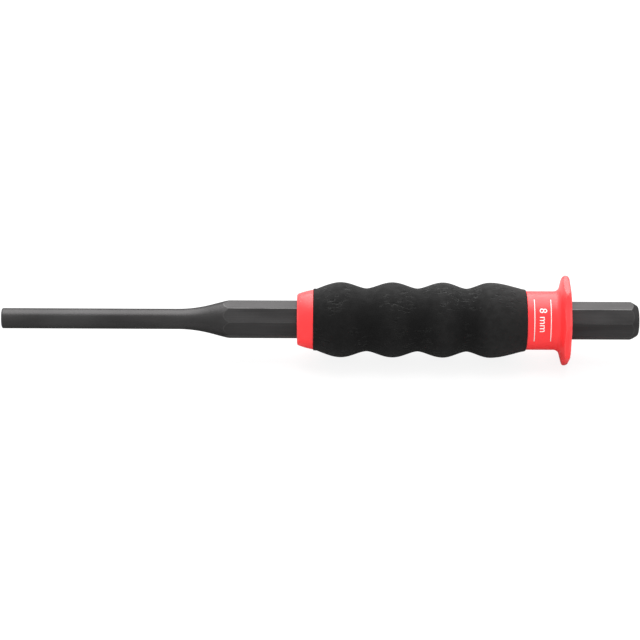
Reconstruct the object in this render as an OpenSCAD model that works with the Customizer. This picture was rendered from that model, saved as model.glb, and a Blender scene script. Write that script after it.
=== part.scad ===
// Pin punch with a push-on hand guard.
// An octagonal steel bar is turned down to a round pin at its front end. The two are one
// piece of steel, divided here at the foot of the neck so that the pin is a plain cylinder.
// A red guard sleeve with an octagonal flange slides on the bar, a ribbed foam grip
// sits on the sleeve's tube, and a red collar on the tube's front end holds the foam.
// The tool lies on one flat of the flange, its axis along X and its tip towards -X.

/* [Punch bar] */
// Diameter of the round pin
pin_d = 8; // [5:0.5:9]
// Length of the parallel part of the pin
pin_length = 69; // [40:1:90]
// Size of the octagonal bar across its flats
bar_flats = 14; // [12:0.5:16]
// Radius of the hollow curve between the pin and the neck
neck_radius = 52; // [30:1:60]
// Slope of the neck where it runs into the bar, in degrees
neck_angle = 14.5; // [12:0.5:20]
// Bare bar between the neck and the guard
front_bar_length = 27; // [15:1:40]
// Bare bar behind the guard, up to the striking face
tail_length = 27.4; // [15:0.2:40]
// Diameter of the flat striking face
strike_d = 9.6; // [7:0.2:11]
// Radius of the edge round the striking face
strike_round = 1.6; // [0.6:0.1:2]
// Slope of the chamfer behind the striking face, in degrees
strike_angle = 30; // [20:1:45]

/* [Guard sleeve] */
// Least wall of the tube, over the corners of its octagonal bore
tube_wall = 1.65; // [1.2:0.05:2.2]
// Length of the round collar between the foam and the flange
neck_collar_length = 12.8; // [8:0.2:20]
// Height of the round collar above the tube
neck_collar_step = 2.25; // [1.6:0.05:3]
// Height of the flange above the round collar, at the middle of a flat
flange_height = 5.15; // [4:0.05:9]
// Thickness of the flange at its root
flange_thickness = 4; // [3.6:0.1:6]
// How far the front of the flange leans back at its rim
flange_lean = 1; // [0:0.1:1.2]
// Radius of the fillet between the round collar and the flange
flange_fillet = 2; // [1:0.1:3]
// Radius of the flange's front edge
rim_front_round = 1.6; // [0.4:0.1:1.8]
// Radius of the flange's back edge
rim_back_round = 1; // [0.3:0.1:1.2]

/* [Front collar] */
// Length of the front collar
collar_length = 6.3; // [5:0.1:10]
// Thickness of its front wall, which closes round the bar
collar_face_wall = 2; // [1:0.1:3]
// Height of its back rim above the tube
collar_rim_step = 2.45; // [1.6:0.05:3]
// How much lower its front edge is than its back rim
collar_taper = 1.6; // [0.5:0.1:2]
// How far its side bows out of a straight cone
collar_bow = 0.17; // [0:0.01:0.3]

/* [Foam grip] */
// Length of the foam grip
foam_length = 83.5; // [70:0.5:110]
// Foam over the tube at the bottom of a finger groove
groove_wall = 3.1; // [2.4:0.1:5]
// Height of the ridges above the finger grooves
ridge_height = 2.4; // [1:0.05:3.5]
// How far its front end stands above the front collar's rim
front_end_step = 0.45; // [0.3:0.05:1]
// How far its back end stands above the sleeve's round collar
back_end_step = 0.75; // [0.3:0.05:1.5]
// Slope at which the front end climbs to the first ridge, in degrees
front_ramp_angle = 21; // [10:1:30]
// Slope at which the last ridge falls to the back end, in degrees
back_ramp_angle = 14; // [8:1:25]

/* [Fits] */
// Gap between the bar's flats and the bore that slides on it
bar_clearance = 0.05; // [0.02:0.01:0.2]
// Glue line between the tube and what is bonded on it
glue_gap = 0.05; // [0:0.01:0.2]

/* [Hidden] */
$fn = 96;

// Sides of the bar, its bore and the flange, and the angle from mid-flat to corner
SIDES = 8;
HALF_SIDE = 180 / SIDES;

STEEL_COLOUR = [0.23, 0.23, 0.24];
GUARD_COLOUR = [0.89, 0.10, 0.12];
FOAM_COLOUR = [0.12, 0.12, 0.12];

// Overrun of every cut past the faces that it opens
overrun = 1;
// Steps in which a curve of an outline is drawn
curve_steps = 10;

// Bevel round the tip of the pin
tip_bevel = 0.4;
// How far the sharp corners of the bar are taken back towards its axis
bar_corner_break = 0.12;
// How far the sharp corners of the flange are taken back towards its axis
flange_corner_break = 0.35;
// Step from the tube down to the spigot that carries the front collar
spigot_step = 0.6;
// Lead-in on the end of the spigot
spigot_bevel = 0.4;
// Radius of the front collar's front edge
collar_edge_round = 0.6;
// Straight land at the foam's front end
foam_land = 1.4;
// Bevel on the foam's front edge
foam_edge_bevel = 0.25;
// Length over which the foam's back end rolls in to the round collar
foam_roll_length = 1.3;
// How far the foam's rolled-in back edge stands above the round collar
foam_roll_step = 0.1;
// Places of the ridges along the foam, as shares of its length
ridge_place_shares = [0.130, 0.373, 0.610, 0.833];
// Curve handles of the front ramp, at its foot and at the ridge, as shares of its length
front_handle_shares = [0.35, 0.4];
// Curve handles of the back ramp, at the ridge and at its foot, as shares of its length
back_handle_shares = [0.2, 0.6];
// Curve handles of the rolled-in back edge, as shares of its length and height
roll_handle_shares = [0.5, 0.4];

// Radii of the bar and of the bore that slides on it
pin_r = pin_d / 2;
bar_corner_r = bar_flats / 2 / cos(HALF_SIDE) - bar_corner_break;
bore_flats = bar_flats + 2 * bar_clearance;
bore_corner_r = bore_flats / 2 / cos(HALF_SIDE);

// Radii of the sleeve, the front collar and the foam, all built up from the bore
tube_r = bore_corner_r + tube_wall;
spigot_r = tube_r - spigot_step;
neck_collar_r = tube_r + neck_collar_step;
flange_r = neck_collar_r + flange_height;
flange_corner_r = flange_r / cos(HALF_SIDE) - flange_corner_break;
collar_rim_r = tube_r + collar_rim_step;
collar_front_r = collar_rim_r - collar_taper;
groove_r = tube_r + groove_wall;
ridge_r = groove_r + ridge_height;
foam_front_r = collar_rim_r + front_end_step;
foam_back_r = neck_collar_r + back_end_step;
foam_roll_r = neck_collar_r + foam_roll_step;

// Places along the axis, counted from the tip
neck_z = pin_length;
cone_z = neck_z + neck_radius * sin(neck_angle);
cone_r = pin_r + neck_radius * (1 - cos(neck_angle));
bar_z = cone_z + (bar_corner_r - cone_r) / tan(neck_angle);
collar_z = bar_z + front_bar_length;
spigot_z = collar_z + collar_face_wall;
foam_z = collar_z + collar_length;
neck_collar_z = foam_z + foam_length;
flange_z = neck_collar_z + neck_collar_length;
back_z = flange_z + flange_thickness;
overall_length = back_z + tail_length;
ridge_z = [for (share = ridge_place_shares) foam_z + share * foam_length];

// Points of an arc about a centre
function arc(centre, radius, from, to) =
    [for (i = [0:curve_steps])
        let (a = from + (to - from) * i / curve_steps)
        centre + radius * [cos(a), sin(a)]];

// Points of a cubic curve between two ends, each with its handle
function cubic(p, p_handle, q_handle, q) =
    [for (i = [0:curve_steps])
        let (t = i / curve_steps, s = 1 - t)
        s * s * s * p + 3 * s * s * t * p_handle + 3 * s * t * t * q_handle + t * t * t * q];

// Points of a line from p to q that bows out sideways at its middle
function bowed(p, q, bow) =
    let (across = [q[1] - p[1], p[0] - q[0]] / norm(q - p))
    [for (i = [0:curve_steps])
        let (t = i / curve_steps)
        p + t * (q - p) + 4 * t * (1 - t) * bow * across];

// Points of the waves between the first and the last ridge, as cosines
function waves() =
    [for (i = [0:len(ridge_z) - 2], k = [1:2 * curve_steps])
        let (t = k / (2 * curve_steps))
        [groove_r + ridge_height * (1 + cos(360 * t)) / 2,
         ridge_z[i] + t * (ridge_z[i + 1] - ridge_z[i])]];

// Lays a piece that stands on the tip, axis up, on the flange's lower flat
module lay_down() {
    translate([-overall_length / 2, 0, flange_r]) rotate([0, 90, 0]) children();
}

// An octagonal prism from one place on the axis to another
module octagon(flats, from, to) {
    translate([0, 0, from])
        linear_extrude(to - from)
            rotate(HALF_SIDE) circle(r = flats / 2 / cos(HALF_SIDE), $fn = SIDES);
}

// The octagonal bore in which the bar slides, cut past both of its ends
module bar_bore(from, to) {
    octagon(bore_flats, from - overrun, to + overrun);
}

// Round pin from its bevelled tip to the foot of the neck
module punch_pin() {
    outline = [[0, 0], [pin_r - tip_bevel, 0], [pin_r, tip_bevel], [pin_r, neck_z], [0, neck_z]];
    color(STEEL_COLOUR)
        lay_down()
            rotate_extrude() polygon(outline);
}

// Octagonal bar with its turned neck and chamfered striking end
module punch_bar() {
    strike_r = strike_d / 2;
    strike_edge = [strike_r + strike_round * cos(strike_angle),
                   overall_length - strike_round * (1 - sin(strike_angle))];
    chamfer_z = strike_edge[1] - (bar_corner_r - strike_edge[0]) / tan(strike_angle);
    outline = concat(
        [[0, neck_z]],
        arc([pin_r + neck_radius, neck_z], neck_radius, 180, 180 - neck_angle),
        [[bar_corner_r, bar_z], [bar_corner_r, chamfer_z]],
        arc([strike_r, overall_length - strike_round], strike_round, strike_angle, 90),
        [[0, overall_length]]);
    color(STEEL_COLOUR)
        lay_down()
            intersection() {
                rotate_extrude() polygon(outline);
                octagon(bar_flats, neck_z - overrun, overall_length + overrun);
            }
}

// Half of the flange's section, from its middle out to its rim
function flange_section() =
    let (root = [neck_collar_r + flange_fillet, flange_z],
         lean = atan(flange_lean / (flange_r - root[0])),
         front_u = flange_r - rim_front_round,
         front = [front_u, flange_z + (front_u - root[0]) * tan(lean) + rim_front_round / cos(lean)],
         back = [flange_r - rim_back_round, back_z - rim_back_round])
    concat([root], arc(front, rim_front_round, lean - 90, 0), arc(back, rim_back_round, 0, 90));

// Octagonal plate whose rim is rounded along every flat
module flange_plate() {
    half = flange_section();
    section = concat(half, [for (i = [len(half) - 1:-1:0]) [-half[i][0], half[i][1]]]);
    intersection() {
        intersection_for (k = [0:SIDES / 2 - 1])
            rotate(k * 2 * HALF_SIDE)
                rotate([90, 0, 0])
                    linear_extrude(2 * (flange_corner_r + overrun), center = true) polygon(section);
        translate([0, 0, flange_z - overrun])
            cylinder(h = flange_thickness + 2 * overrun, r = flange_corner_r);
    }
}

// Tube with its spigot, the round collar behind the foam and the octagonal flange
module guard_sleeve() {
    outline = concat(
        [[0, spigot_z], [spigot_r - spigot_bevel, spigot_z], [spigot_r, spigot_z + spigot_bevel],
         [spigot_r, foam_z], [tube_r, foam_z],
         [tube_r, neck_collar_z], [neck_collar_r, neck_collar_z]],
        arc([neck_collar_r + flange_fillet, flange_z - flange_fillet], flange_fillet, 180, 90),
        [[neck_collar_r + flange_fillet, back_z], [0, back_z]]);
    color(GUARD_COLOUR)
        lay_down()
            difference() {
                union() {
                    rotate_extrude() polygon(outline);
                    flange_plate();
                }
                bar_bore(spigot_z, back_z);
            }
}

// Tapered collar bonded over the spigot, with the octagonal hole that closes round the bar
module front_collar() {
    side_start = [collar_front_r, collar_z + collar_edge_round];
    outline = concat(
        [[0, collar_z]],
        arc([collar_front_r - collar_edge_round, side_start[1]], collar_edge_round, -90, 0),
        bowed(side_start, [collar_rim_r, foam_z], collar_bow),
        [[0, foam_z]]);
    color(GUARD_COLOUR)
        lay_down()
            difference() {
                rotate_extrude() polygon(outline);
                translate([0, 0, spigot_z])
                    cylinder(h = collar_length - collar_face_wall + overrun, r = spigot_r + glue_gap);
                bar_bore(collar_z, foam_z);
            }
}

// Foam sleeve with four ridges and three finger grooves
module foam_grip() {
    bore_r = tube_r + glue_gap;
    first = ridge_z[0];
    last = ridge_z[len(ridge_z) - 1];
    ramp_start = [foam_front_r, foam_z + foam_land];
    roll_start = [foam_back_r, neck_collar_z - foam_roll_length];
    front_ramp = first - ramp_start[1];
    back_ramp = roll_start[1] - last;
    front_slope = [tan(front_ramp_angle), 1];
    back_slope = [-tan(back_ramp_angle), 1];
    outline = concat(
        [[bore_r, foam_z], [foam_front_r - foam_edge_bevel, foam_z],
         [foam_front_r, foam_z + foam_edge_bevel]],
        cubic(ramp_start,
              ramp_start + front_handle_shares[0] * front_ramp * front_slope,
              [ridge_r, first - front_handle_shares[1] * front_ramp],
              [ridge_r, first]),
        waves(),
        cubic([ridge_r, last],
              [ridge_r, last + back_handle_shares[0] * back_ramp],
              roll_start - back_handle_shares[1] * back_ramp * back_slope,
              roll_start),
        cubic(roll_start,
              roll_start + roll_handle_shares[0] * foam_roll_length * back_slope,
              [foam_roll_r + roll_handle_shares[1] * (foam_back_r - foam_roll_r), neck_collar_z],
              [foam_roll_r, neck_collar_z]),
        [[bore_r, neck_collar_z]]);
    color(FOAM_COLOUR)
        lay_down()
            rotate_extrude() polygon(outline);
}

punch_pin();
punch_bar();
guard_sleeve();
front_collar();
foam_grip();
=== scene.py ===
"""Dresses a pin punch with a hand guard: steel punch, red mouldings, foam grip and studio.

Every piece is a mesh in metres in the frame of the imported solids. The tool's axis runs along X, its
tip points to -X, and it lies on the lower flat of the flange, at z = 0.
"""

import logging
import math
from dataclasses import dataclass
from enum import Enum

import bpy
import numpy as np
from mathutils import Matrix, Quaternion, Vector
from numpy.typing import NDArray


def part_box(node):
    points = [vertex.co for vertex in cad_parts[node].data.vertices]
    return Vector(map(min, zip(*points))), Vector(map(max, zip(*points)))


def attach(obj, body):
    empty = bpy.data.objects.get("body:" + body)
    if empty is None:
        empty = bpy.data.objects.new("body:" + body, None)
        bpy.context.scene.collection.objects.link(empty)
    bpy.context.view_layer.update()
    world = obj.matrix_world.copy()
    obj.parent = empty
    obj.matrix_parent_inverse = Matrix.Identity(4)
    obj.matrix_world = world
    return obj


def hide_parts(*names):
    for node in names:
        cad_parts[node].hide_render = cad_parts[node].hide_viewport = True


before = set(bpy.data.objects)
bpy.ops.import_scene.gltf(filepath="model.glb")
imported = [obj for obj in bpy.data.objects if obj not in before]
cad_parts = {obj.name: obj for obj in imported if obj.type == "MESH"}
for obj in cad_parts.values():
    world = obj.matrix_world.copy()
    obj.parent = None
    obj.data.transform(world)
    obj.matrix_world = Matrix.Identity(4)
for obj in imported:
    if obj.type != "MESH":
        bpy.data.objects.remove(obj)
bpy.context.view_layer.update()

LOG = logging.getLogger("pin_punch")

MM = 0.001
TURN = 2 * math.pi
SIDES = 8
HALF_SIDE = math.pi / SIDES
WELD = 0.001 * MM
TINY = 1e-12

CURVATURE = "edge_curvature"
TURNED = "turned"
# How much paler the foam is: more on the ridges, plus painted light that makes it paler towards the back
# end.
PALE_RIDGES_AND_BACK_LIGHT = "worn"

Colour = tuple[float, float, float]
Station = tuple[float, float]
Points = NDArray[np.float64]
Socket = bpy.types.NodeSocket


class Body(Enum):
    """Bodies of the tool that move as one."""

    PUNCH = "punch"
    GUARD = "guard"


class Slot(Enum):
    """Material slots of the record."""

    STEEL = "steel"
    GUARD_PLASTIC = "guard_plastic"
    FOAM = "foam"


class Effect(Enum):
    """Shader effects that several finishes share."""

    MOTTLE = "mottle"
    EDGE_WEAR = "edge_wear"


class Field:
    """A number in a node tree that is reckoned with like any other number."""

    def __init__(self, board: "Board", socket: Socket) -> None:
        """Keeps the board that holds the nodes, and the socket that gives the number."""
        self.board = board
        self.socket = socket

    def _join(self, operation: str, *values: "Field | float") -> "Field":
        """Adds a node that works out one operation.

        Args:
            operation: Name of the operation.
            values: Its numbers, in order.

        Returns:
            The result.
        """
        node = self.board.add("ShaderNodeMath", {"operation": operation}, dict(enumerate(values)))
        return Field(self.board, node.outputs[0])

    def __add__(self, other: "Field | float") -> "Field":
        """Sum."""
        return self._join("ADD", self, other)

    def __radd__(self, other: float) -> "Field":
        """Sum with a plain number in front."""
        return self._join("ADD", other, self)

    def __sub__(self, other: "Field | float") -> "Field":
        """Difference."""
        return self._join("SUBTRACT", self, other)

    def __rsub__(self, other: float) -> "Field":
        """Difference from a plain number."""
        return self._join("SUBTRACT", other, self)

    def __mul__(self, other: "Field | float") -> "Field":
        """Product."""
        return self._join("MULTIPLY", self, other)

    def __rmul__(self, other: float) -> "Field":
        """Product with a plain number in front."""
        return self._join("MULTIPLY", other, self)

    def __truediv__(self, other: "Field | float") -> "Field":
        """Quotient."""
        return self._join("DIVIDE", self, other)

    def __rtruediv__(self, other: float) -> "Field":
        """Quotient of a plain number."""
        return self._join("DIVIDE", other, self)

    def sin(self) -> "Field":
        """Sine of the angle."""
        return self._join("SINE", self)

    def cos(self) -> "Field":
        """Cosine of the angle."""
        return self._join("COSINE", self)

    def root(self) -> "Field":
        """Square root."""
        return self._join("SQRT", self)

    def power(self, exponent: "Field | float") -> "Field":
        """The number raised to a power."""
        return self._join("POWER", self, exponent)

    def larger(self, other: "Field | float") -> "Field":
        """The larger of two numbers."""
        return self._join("MAXIMUM", self, other)

    def share(self) -> "Field":
        """The number held between 0 and 1."""
        return self.board.field("ShaderNodeClamp", Value=self)


class Board:
    """A node tree with short ways to add nodes and to join them."""

    def __init__(self, tree: bpy.types.NodeTree) -> None:
        """Keeps the tree that the nodes go into."""
        self.tree = tree

    def plug(self, socket: Socket, value: object) -> None:
        """Feeds an input.

        Args:
            socket: Input socket.
            value: A field or an output socket, which is linked, or a plain value, which is set.
        """
        if isinstance(value, Field):
            value = value.socket
        if isinstance(value, Socket):
            self.tree.links.new(value, socket)
        else:
            socket.default_value = value

    def add(
        self,
        kind: str,
        settings: dict[str, object] | None = None,
        inputs: dict[str | int, object] | None = None,
    ) -> bpy.types.Node:
        """Adds a node.

        Args:
            kind: Type of the node.
            settings: Its properties.
            inputs: What feeds its inputs, by name or by place.

        Returns:
            The node.
        """
        node = self.tree.nodes.new(kind)
        for name, value in (settings or {}).items():
            setattr(node, name, value)
        for name, value in (inputs or {}).items():
            self.plug(node.inputs[name], value)
        return node

    def output(self, kind: str, settings: dict[str, object] | None = None, **inputs: object) -> Socket:
        """Adds a node and gives its first output.

        Args:
            kind: Type of the node.
            settings: Its properties.
            inputs: What feeds its inputs, by name with spaces as underscores.

        Returns:
            The first output.
        """
        named = {name.replace("_", " "): value for name, value in inputs.items()}
        return self.add(kind, settings, named).outputs[0]

    def field(self, kind: str, settings: dict[str, object] | None = None, **inputs: object) -> Field:
        """Adds a node in the same way, and gives its first output as a field."""
        return Field(self, self.output(kind, settings, **inputs))

    def attribute(self, name: str) -> Field:
        """A number that the piece's own mesh carries at its points."""
        node = self.add("ShaderNodeAttribute", {"attribute_name": name})
        return Field(self, node.outputs["Fac"])

    def split(self, vector: Socket) -> tuple[Field, Field, Field]:
        """The three parts of a vector."""
        parts = self.add("ShaderNodeSeparateXYZ", inputs={0: vector}).outputs
        return Field(self, parts[0]), Field(self, parts[1]), Field(self, parts[2])

    def vector(self, x: Field | float, y: Field | float, z: Field | float) -> Socket:
        """A vector of three parts."""
        return self.add("ShaderNodeCombineXYZ", inputs={0: x, 1: y, 2: z}).outputs[0]

    def ramp(self, value: Field, start: Field | Socket | float, full: Field | Socket | float) -> Field:
        """A number that rises smoothly from 0 at start to 1 at full."""
        settings = {"interpolation_type": "SMOOTHSTEP"}
        return self.field("ShaderNodeMapRange", settings, Value=value, From_Min=start, From_Max=full)

    def tint(self, share: Field, low: Socket | Colour, high: Socket | Colour) -> Socket:
        """A colour between two, by a share.

        Args:
            share: 0 for the low colour, 1 for the high one.
            low: Colour socket or plain colour.
            high: Colour socket or plain colour.

        Returns:
            Socket of the mixed colour.
        """
        node = self.add("ShaderNodeMix", {"data_type": "RGBA"})
        ends = {"Factor_Float": share, "A_Color": low, "B_Color": high}
        for socket in node.inputs:
            if socket.identifier in ends:
                value = ends[socket.identifier]
                self.plug(socket, (*value, 1.0) if isinstance(value, tuple) else value)
        return next(s for s in node.outputs if s.identifier == "Result_Color")

    def effect(self, effect: Effect, inputs: dict[str, object]) -> Field:
        """Places a shared shader effect.

        Args:
            effect: Which effect.
            inputs: What feeds its inputs, by name.

        Returns:
            Its mask.
        """
        node = self.add("ShaderNodeGroup", {"node_tree": bpy.data.node_groups[effect.value]}, inputs)
        return Field(self, node.outputs[0])

    def mottle(self, place: Socket, size: float, **numbers: float) -> Field:
        """Patches of a size, with the numbers that aren't the effect's usual ones."""
        return self.effect(Effect.MOTTLE, {"Vector": place, "Scale": 1 / size, **numbers})

    def edge_wear(self, place: Socket, size: float, **numbers: float) -> Field:
        """Rubbed edges in patches of a size, with the numbers that say where the wear is."""
        inputs = {"Vector": place, "Curvature": self.attribute(CURVATURE), "Scale": 1 / size}
        return self.effect(Effect.EDGE_WEAR, {**inputs, **numbers})

    def emboss(self, shader: bpy.types.Node, height: Field, depth: float, strength: float) -> None:
        """Gives a shader fine relief from a height, the depth of a height of 1, and a strength."""
        bump = self.add("ShaderNodeBump", inputs={"Height": height, "Distance": depth, "Strength": strength})
        self.plug(shader.inputs["Normal"], bump.outputs["Normal"])


@dataclass(frozen=True)
class Effects:
    """Makes the shader effects that several finishes share."""

    patch_softness: float = 0.2

    def _group(
        self, effect: Effect, numbers: dict[str, float]
    ) -> tuple[Board, bpy.types.bpy_prop_collection, Socket]:
        """Starts a group with a vector input, number inputs and one mask output.

        Args:
            effect: Which effect the group makes.
            numbers: Names and usual values of its number inputs.

        Returns:
            Its board, its inputs by name and the socket that takes its mask.
        """
        tree = bpy.data.node_groups.new(effect.value, "ShaderNodeTree")
        tree.interface.new_socket("Vector", in_out="INPUT", socket_type="NodeSocketVector")
        for name, value in numbers.items():
            number = tree.interface.new_socket(name, in_out="INPUT", socket_type="NodeSocketFloat")
            number.default_value = value
        tree.interface.new_socket("Mask", in_out="OUTPUT", socket_type="NodeSocketFloat")
        board = Board(tree)
        given = board.add("NodeGroupInput").outputs
        return board, given, board.add("NodeGroupOutput").inputs["Mask"]

    def _mottle(self) -> None:
        """Makes patches of a size, drawn out along the tool, between a low and a high threshold."""
        numbers = {"Scale": 1000.0, "Stretch": 1.0, "Detail": 2.0, "Low": 0.3, "High": 0.7}
        board, given, mask = self._group(Effect.MOTTLE, numbers)
        x, y, z = board.split(given["Vector"])
        drawn = board.vector(x / Field(board, given["Stretch"]), y, z)
        noise = board.field("ShaderNodeTexNoise", Vector=drawn, Scale=given["Scale"], Detail=given["Detail"])
        board.plug(mask, board.ramp(noise, given["Low"], given["High"]))

    def _edge_wear(self) -> None:
        """Makes rubbed lines along edges, broken up into patches."""
        numbers = {"Curvature": 0.0, "Start": 0.5, "Full": 1.0, "Scale": 1000.0, "Cover": 0.5}
        board, given, mask = self._group(Effect.EDGE_WEAR, numbers)
        edge = board.ramp(Field(board, given["Curvature"]), given["Start"], given["Full"])
        noise = board.field("ShaderNodeTexNoise", Vector=given["Vector"], Scale=given["Scale"])
        bare = 1.0 - Field(board, given["Cover"])
        patches = board.ramp(noise, bare - self.patch_softness, bare + self.patch_softness)
        board.plug(mask, edge * patches)

    def build(self) -> None:
        """Builds both effects."""
        self._mottle()
        self._edge_wear()


@dataclass(frozen=True)
class Finish:
    """What every finish holds: its name, colour and gloss.

    In all finishes sizes are in metres, wear starts and is full at a bend in radians for each
    millimetre, and the other numbers are plain shares or factors.
    """

    name: str
    colour: Colour
    roughness: float
    specular: float

    def start(self) -> tuple[bpy.types.Material, Board, bpy.types.Node, Socket]:
        """Starts a material with the plain values that are the same all over.

        Returns:
            The material, its board, its shader and the place on the piece.
        """
        material = bpy.data.materials.new(self.name)
        material.use_nodes = True
        board = Board(material.node_tree)
        shader = material.node_tree.nodes["Principled BSDF"]
        shader.inputs["Base Color"].default_value = (*self.colour, 1.0)
        shader.inputs["Roughness"].default_value = self.roughness
        shader.inputs["Specular IOR Level"].default_value = self.specular
        return material, board, shader, board.add("ShaderNodeTexCoord").outputs["Object"]

    def shade(self, strength: float) -> Colour:
        """The finish's colour, made lighter or darker."""
        red, green, blue = self.colour
        return red * strength, green * strength, blue * strength


@dataclass(frozen=True)
class SteelFinish(Finish):
    """Dark phosphated steel: drawn flats, turned rounds, rubbed corners."""

    metal: float = 0.8
    edge_reflection: float = 0.55
    dark_tone: float = 0.68
    pale_tone: float = 1.32
    grain_weight: float = 0.3
    cloud_weight: float = 0.5
    line_weight: float = 0.2
    grain_size: float = 0.22 * MM
    grain_detail: float = 3.0
    grain_roughness: float = 0.08
    cloud_size: float = 9 * MM
    cloud_stretch: float = 3.0
    cloud_shift: float = 150 * MM
    cloud_roughness: float = 0.1
    streak_size: float = 0.5 * MM
    streak_stretch: float = 60.0
    turning_pitch: float = 0.35 * MM
    turning_detail: float = 1.0
    wear_start: float = 0.8
    wear_full: float = 2.2
    wear_cover: float = 0.55
    wear_metal: float = 0.2
    wear_polish: float = 0.1
    bare_colour: Colour = (0.25, 0.25, 0.245)
    bare_share: float = 0.14
    relief: float = 0.012 * MM
    relief_strength: float = 0.5
    grain_relief: float = 0.6
    line_relief: float = 0.4

    def material(self) -> bpy.types.Material:
        """Makes the material.

        Returns:
            The material.
        """
        material, board, shader, place = self.start()
        shader.inputs["Specular Tint"].default_value = (*[self.edge_reflection] * 3, 1.0)
        x, y, z = board.split(place)
        cloud_place = board.vector(x + self.cloud_shift, y, z)
        grain = board.mottle(place, self.grain_size, Detail=self.grain_detail)
        clouds = board.mottle(cloud_place, self.cloud_size, Stretch=self.cloud_stretch)
        streaks = board.mottle(place, self.streak_size, Stretch=self.streak_stretch)
        rings = board.field(
            "ShaderNodeTexNoise",
            {"noise_dimensions": "1D"},
            W=x,
            Scale=1 / self.turning_pitch,
            Detail=self.turning_detail,
        )
        turned = board.attribute(TURNED)
        lines = turned * rings + (1.0 - turned) * streaks
        wear = board.edge_wear(
            place, self.cloud_size, Start=self.wear_start, Full=self.wear_full, Cover=self.wear_cover
        )
        tone = self.grain_weight * grain + self.cloud_weight * clouds + self.line_weight * lines
        dark = board.tint(tone, self.shade(self.dark_tone), self.shade(self.pale_tone))
        board.plug(shader.inputs["Base Color"], board.tint(self.bare_share * wear, dark, self.bare_colour))
        board.plug(shader.inputs["Metallic"], self.metal + self.wear_metal * wear)
        unevenness = self.grain_roughness * (grain - 0.5) + self.cloud_roughness * (clouds - 0.5)
        board.plug(shader.inputs["Roughness"], self.roughness + unevenness - self.wear_polish * wear)
        height = self.grain_relief * grain + self.line_relief * lines
        board.emboss(shader, height, self.relief, self.relief_strength)
        return material


@dataclass(frozen=True)
class MouldingFinish(Finish):
    """Semi-gloss moulded plastic with a faint skin texture and rubbed rims."""

    dark_tone: float = 0.94
    pale_tone: float = 1.04
    skin_weight: float = 0.4
    cloud_weight: float = 0.6
    skin_size: float = 0.5 * MM
    cloud_size: float = 6 * MM
    cloud_roughness: float = 0.06
    wear_start: float = 0.4
    wear_full: float = 1.2
    wear_cover: float = 0.45
    wear_roughness: float = 0.08
    rubbed_colour: Colour = (0.95, 0.16, 0.15)
    rubbed_share: float = 0.3
    relief: float = 0.006 * MM
    relief_strength: float = 0.4

    def material(self) -> bpy.types.Material:
        """Makes the material.

        Returns:
            The material.
        """
        material, board, shader, place = self.start()
        skin = board.mottle(place, self.skin_size)
        clouds = board.mottle(place, self.cloud_size)
        wear = board.edge_wear(
            place, self.cloud_size, Start=self.wear_start, Full=self.wear_full, Cover=self.wear_cover
        )
        share = self.cloud_weight * clouds + self.skin_weight * skin
        tone = board.tint(share, self.shade(self.dark_tone), self.shade(self.pale_tone))
        rubbed = board.tint(self.rubbed_share * wear, tone, self.rubbed_colour)
        board.plug(shader.inputs["Base Color"], rubbed)
        unevenness = self.cloud_roughness * (clouds - 0.5) + self.wear_roughness * wear
        board.plug(shader.inputs["Roughness"], self.roughness + unevenness)
        board.emboss(shader, skin, self.relief, self.relief_strength)
        return material


@dataclass(frozen=True)
class FoamFinish(Finish):
    """Matt black foam, paler on its ridges, with painted light towards the back end, a mottled skin and
    short nicks in places with painted shade.
    """

    groove_tone: float = 0.1
    dark_tone: float = 0.35
    pale_tone: float = 1.6
    plain_share: float = 0.32
    patch_share: float = 0.22
    patch_size: float = 2.6 * MM
    patch_detail: float = 4.0
    patch_gloss: float = 0.1
    grain_share: float = 0.14
    grain_size: float = 0.35 * MM
    grain_detail: float = 3.0
    # The nicks' colour is painted darker, as shade in them.
    nick_shade_colour: Colour = (0.004, 0.004, 0.004)
    nick_shade_share: float = 0.4
    nick_size: float = 1.1 * MM
    nick_stretch: float = 2.6
    nick_start: float = 0.57
    nick_full: float = 0.66
    lip_start: float = 0.53
    lip_tone: float = 1.0
    lip_gloss: float = 0.42
    field_size: float = 9 * MM
    field_start: float = 0.47
    field_full: float = 0.63
    sheen: float = 0.035
    sheen_roughness: float = 0.6
    relief: float = 0.42 * MM
    relief_strength: float = 0.8
    grain_relief: float = 0.08
    patch_relief: float = 0.11

    def material(self) -> bpy.types.Material:
        """Makes the material.

        Returns:
            The material.
        """
        material, board, shader, place = self.start()
        shader.inputs["Sheen Weight"].default_value = self.sheen
        shader.inputs["Sheen Roughness"].default_value = self.sheen_roughness
        patches = board.mottle(place, self.patch_size, Detail=self.patch_detail)
        grain = board.mottle(place, self.grain_size, Detail=self.grain_detail)
        fields = board.mottle(place, self.field_size, Low=self.field_start, High=self.field_full)
        raised, cut = (
            board.mottle(place, self.nick_size, Stretch=self.nick_stretch, Low=low, High=high)
            for low, high in ((self.lip_start, self.nick_start), (self.nick_start, self.nick_full))
        )
        nicks, lips = cut * fields, (raised - cut) * fields
        # Paler on the ridges than in the grooves, and painted light: paler still towards the back end, as if
        # lit from behind.
        rubbed = self.groove_tone + (1.0 - self.groove_tone) * board.attribute(PALE_RIDGES_AND_BACK_LIGHT)
        share = rubbed * (self.plain_share + self.patch_share * patches + self.grain_share * grain)
        tone = board.tint(share, self.shade(self.dark_tone), self.shade(self.pale_tone))
        lipped = board.tint(lips, tone, self.shade(self.lip_tone))
        # Painted shade: the colour is darkened in the nicks; their relief is the bump below.
        shaded_in_nicks = board.tint(self.nick_shade_share * nicks, lipped, self.nick_shade_colour)
        board.plug(shader.inputs["Base Color"], shaded_in_nicks)
        gloss = self.patch_gloss * patches + self.lip_gloss * lips
        board.plug(shader.inputs["Roughness"], self.roughness - gloss)
        height = self.grain_relief * grain + self.patch_relief * patches - nicks
        board.emboss(shader, height, self.relief, self.relief_strength)
        return material


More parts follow.
